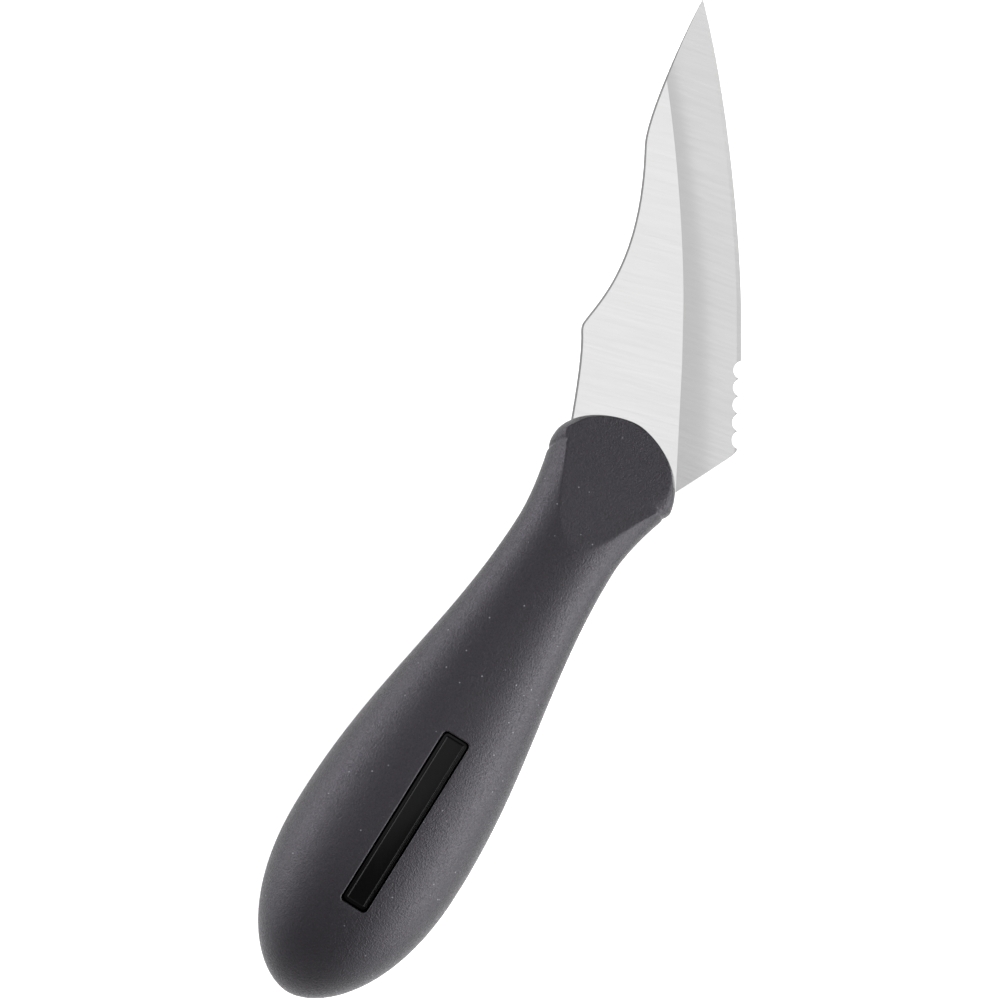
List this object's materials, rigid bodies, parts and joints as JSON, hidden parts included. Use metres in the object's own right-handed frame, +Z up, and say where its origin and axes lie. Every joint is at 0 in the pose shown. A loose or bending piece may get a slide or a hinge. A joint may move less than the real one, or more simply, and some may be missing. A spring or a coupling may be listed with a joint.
{
  "type": "kitchen prep knife",
  "caption": "Kitchen prep knife with a curved, hollow-ground steel blade, a scalloped heel and a soft moulded grip over a rigid core.",
  "frame": {"origin": "middle of the footprint at the height of the grip's lowest point, with the knife lying on its side", "axes": "+X along the handle from the butt towards the blade, +Y from the cutting edge's side to the spine's side, +Z up through the blade's flat side"},
  "size_m": [0.1825, 0.0462, 0.0236],
  "materials": {
    "satin_steel": "fine satin stainless steel with a hollow-ground band",
    "soft_rubber": "soft-touch matte black with a fine speckle",
    "gloss_black": "glossy black moulded plastic",
    "pin_steel": "turned stainless pin"
  },
  "bodies": {
    "root": {"blade": "satin_steel", "soft_grip": "soft_rubber", "core_upper": "gloss_black", "core_lower": "gloss_black", "tang_pin_front": "pin_steel", "tang_pin_rear": "pin_steel"}
  },
  "joints": []
}
